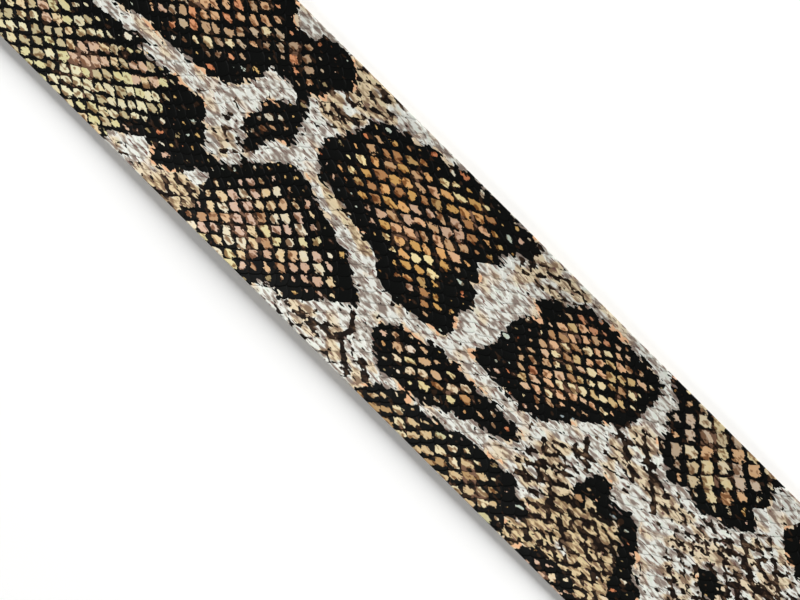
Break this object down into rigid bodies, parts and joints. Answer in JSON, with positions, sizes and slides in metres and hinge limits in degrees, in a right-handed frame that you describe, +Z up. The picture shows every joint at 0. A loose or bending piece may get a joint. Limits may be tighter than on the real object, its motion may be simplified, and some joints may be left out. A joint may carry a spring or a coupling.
{
  "type": "strip of snake skin",
  "caption": "Thin straight-cut strip of snake skin with overlapping scales, dark-edged brown blotches and pale bands, lying scale side up with its long edges curled a little upwards.",
  "frame": {"origin": "on the resting plane, under the middle of the strip", "axes": "+X along the snake towards the tail, +Y across the strip, +Z up out of the scales"},
  "size_m": [0.52, 0.11, 0.0084],
  "materials": {
    "skin": "dry hide between and under the scales: brown-black in the blotches, cream in the bands, satin",
    "scales": "overlapping keratin scales: tan with black rims in the blotches, cream in the bands, soft sheen"
  },
  "bodies": {
    "root": {"skin": "skin"}
  },
  "joints": []
}
